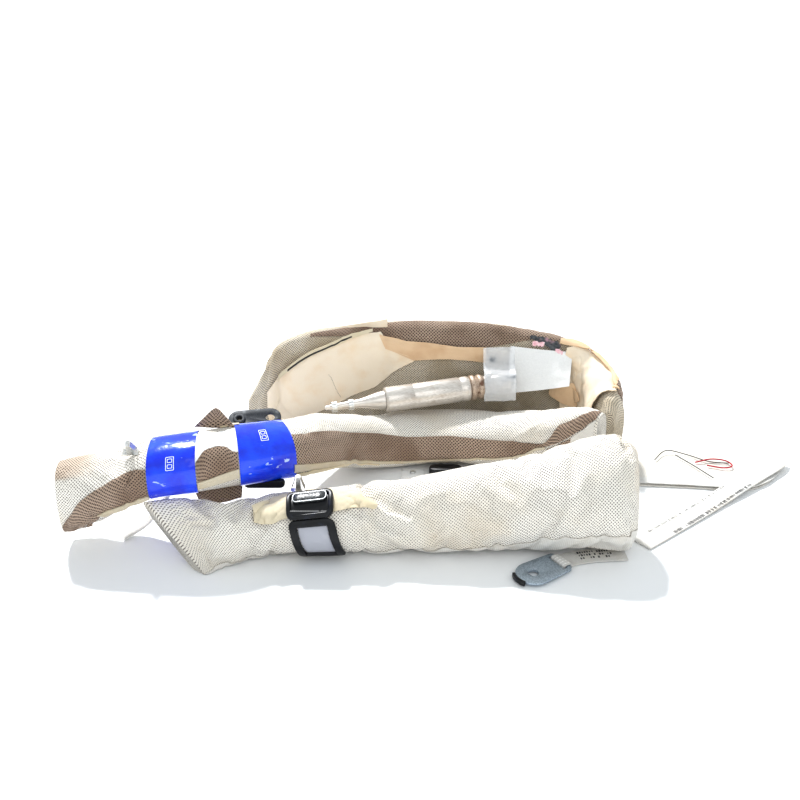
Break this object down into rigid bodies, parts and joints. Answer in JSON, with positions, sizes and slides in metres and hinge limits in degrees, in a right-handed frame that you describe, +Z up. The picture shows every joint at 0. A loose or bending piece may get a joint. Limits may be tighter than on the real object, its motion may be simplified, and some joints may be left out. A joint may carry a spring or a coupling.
{
  "type": "curtain airbag module",
  "caption": "Folded roof-rail curtain airbag module: mesh-sleeved roll in three runs, gas inflator, tether with steel anchor plate, retainer clips and tape bands.",
  "frame": {"origin": "middle of the base, on the surface that it lies on", "axes": "+X along the folded roll, from the hooked end to the tether, +Y towards the rear run, +Z up"},
  "size_m": [0.804, 0.3745, 0.1441],
  "materials": {
    "sleeve_mesh": "woven mesh, off-white, brown stains",
    "brown_mesh": "woven mesh, taupe brown",
    "coated_fabric": "coated nylon, cream",
    "webbing": "woven tape, white, printed marks",
    "blue_tape": "glossy adhesive tape, blue",
    "paper": "paper label",
    "clear_film": "clear crinkled film",
    "zinc_steel": "zinc plated",
    "tube_steel": "drawn tube, heat stained at the crimp",
    "spring_steel": "bright spring steel",
    "grey_steel": "dark grey phosphate",
    "black_plastic": "moulded, fine grain",
    "grey_foam": "dark grey pad"
  },
  "bodies": {
    "root": {"front_sleeve": "sleeve_mesh", "middle_sleeve": "sleeve_mesh", "rear_sleeve": "sleeve_mesh", "front_cushion": "coated_fabric", "middle_cushion": "coated_fabric", "rear_cushion": "coated_fabric", "middle_brown_strip": "brown_mesh", "left_end_brown_strip": "brown_mesh", "tape_gap_brown_strip": "brown_mesh", "rear_brown_strip": "brown_mesh", "mesh_corner": "brown_mesh", "blue_tape_left": "blue_tape", "blue_tape_right": "blue_tape", "paper_patch": "paper", "cushion_flap": "coated_fabric", "cushion_throat": "coated_fabric", "gathered_fabric": "coated_fabric", "cream_tab": "coated_fabric", "label_card": "paper", "clear_film": "clear_film", "inflator_tube": "tube_steel", "crimp_ring": "tube_steel", "inflator_cap": "tube_steel", "initiator": "tube_steel", "burst_disc": "tube_steel", "filter_screen": "spring_steel", "gas_charge": "grey_foam", "gas_lance": "tube_steel", "lance_clamp_left": "spring_steel", "lance_clamp_right": "spring_steel", "shorting_clip": "black_plastic", "retainer_tab": "coated_fabric", "retainer_housing": "black_plastic", "window_pad": "grey_foam", "hinge_barrel": "black_plastic", "frame_lining": "webbing", "retainer_clip_post": "spring_steel", "left_end_clip_post": "spring_steel", "bracket_rivet": "grey_steel", "tether_panel": "webbing", "tether_strap": "webbing", "anchor_webbing": "webbing", "left_strap": "webbing", "mounting_tab_left": "paper", "mounting_tab_right": "paper", "tab_rivet_left": "spring_steel", "tab_rivet_right": "spring_steel", "tab_clip_body": "black_plastic"},
    "anchor": {"anchor_plate": "zinc_steel", "bolt_keeper": "black_plastic", "webbing_loop": "webbing"},
    "retainer_legs": {"retainer_frame": "black_plastic"},
    "bracket": {"bracket_plate": "grey_steel"},
    "retainer_barb_left": {"retainer_clip_barb_left": "spring_steel"},
    "retainer_barb_right": {"retainer_clip_barb_right": "spring_steel"},
    "left_end_barb_left": {"left_end_clip_barb_left": "spring_steel"},
    "left_end_barb_right": {"left_end_clip_barb_right": "spring_steel"}
  },
  "joints": [
    {"name": "anchor_pivot", "type": "hinge", "parent": "root", "child": "anchor", "pos_m": [0.12021, -0.14472, 0.0012], "axis": [-0.5592, 0.829, 0], "range_deg": [0, 35]},
    {"name": "retainer_hinge", "type": "hinge", "parent": "root", "child": "retainer_legs", "pos_m": [-0.14219, -0.14134, 0.05696], "axis": [-1, 0, 0], "range_deg": [0, 60]},
    {"name": "bracket_swivel", "type": "hinge", "parent": "root", "child": "bracket", "pos_m": [-0.227, -0.0091, 0.0935], "axis": [0.0706, -0.4006, 0.9135], "range_deg": [0, 35]},
    {"name": "retainer_barb_left_flex", "type": "hinge", "parent": "root", "child": "retainer_barb_left", "pos_m": [-0.15753, -0.1073, 0.08062], "axis": [0, -1, 0], "range_deg": [0, 8], "stiffness_Nm_per_rad": 0.02},
    {"name": "retainer_barb_right_flex", "type": "hinge", "parent": "root", "child": "retainer_barb_right", "pos_m": [-0.15273, -0.1073, 0.08062], "axis": [0, 1, 0], "range_deg": [0, 8], "stiffness_Nm_per_rad": 0.02},
    {"name": "left_end_barb_left_flex", "type": "hinge", "parent": "root", "child": "left_end_barb_left", "pos_m": [-0.32681, -0.11404, 0.12324], "axis": [0, -0.866, -0.5], "range_deg": [0, 8], "stiffness_Nm_per_rad": 0.02},
    {"name": "left_end_barb_right_flex", "type": "hinge", "parent": "root", "child": "left_end_barb_right", "pos_m": [-0.32201, -0.11404, 0.12324], "axis": [0, 0.866, 0.5], "range_deg": [0, 8], "stiffness_Nm_per_rad": 0.02}
  ],
  "couplings": [
    {"joint": "retainer_barb_right_flex", "follows": "retainer_barb_left_flex", "ratio": 1},
    {"joint": "left_end_barb_right_flex", "follows": "left_end_barb_left_flex", "ratio": 1}
  ]
}
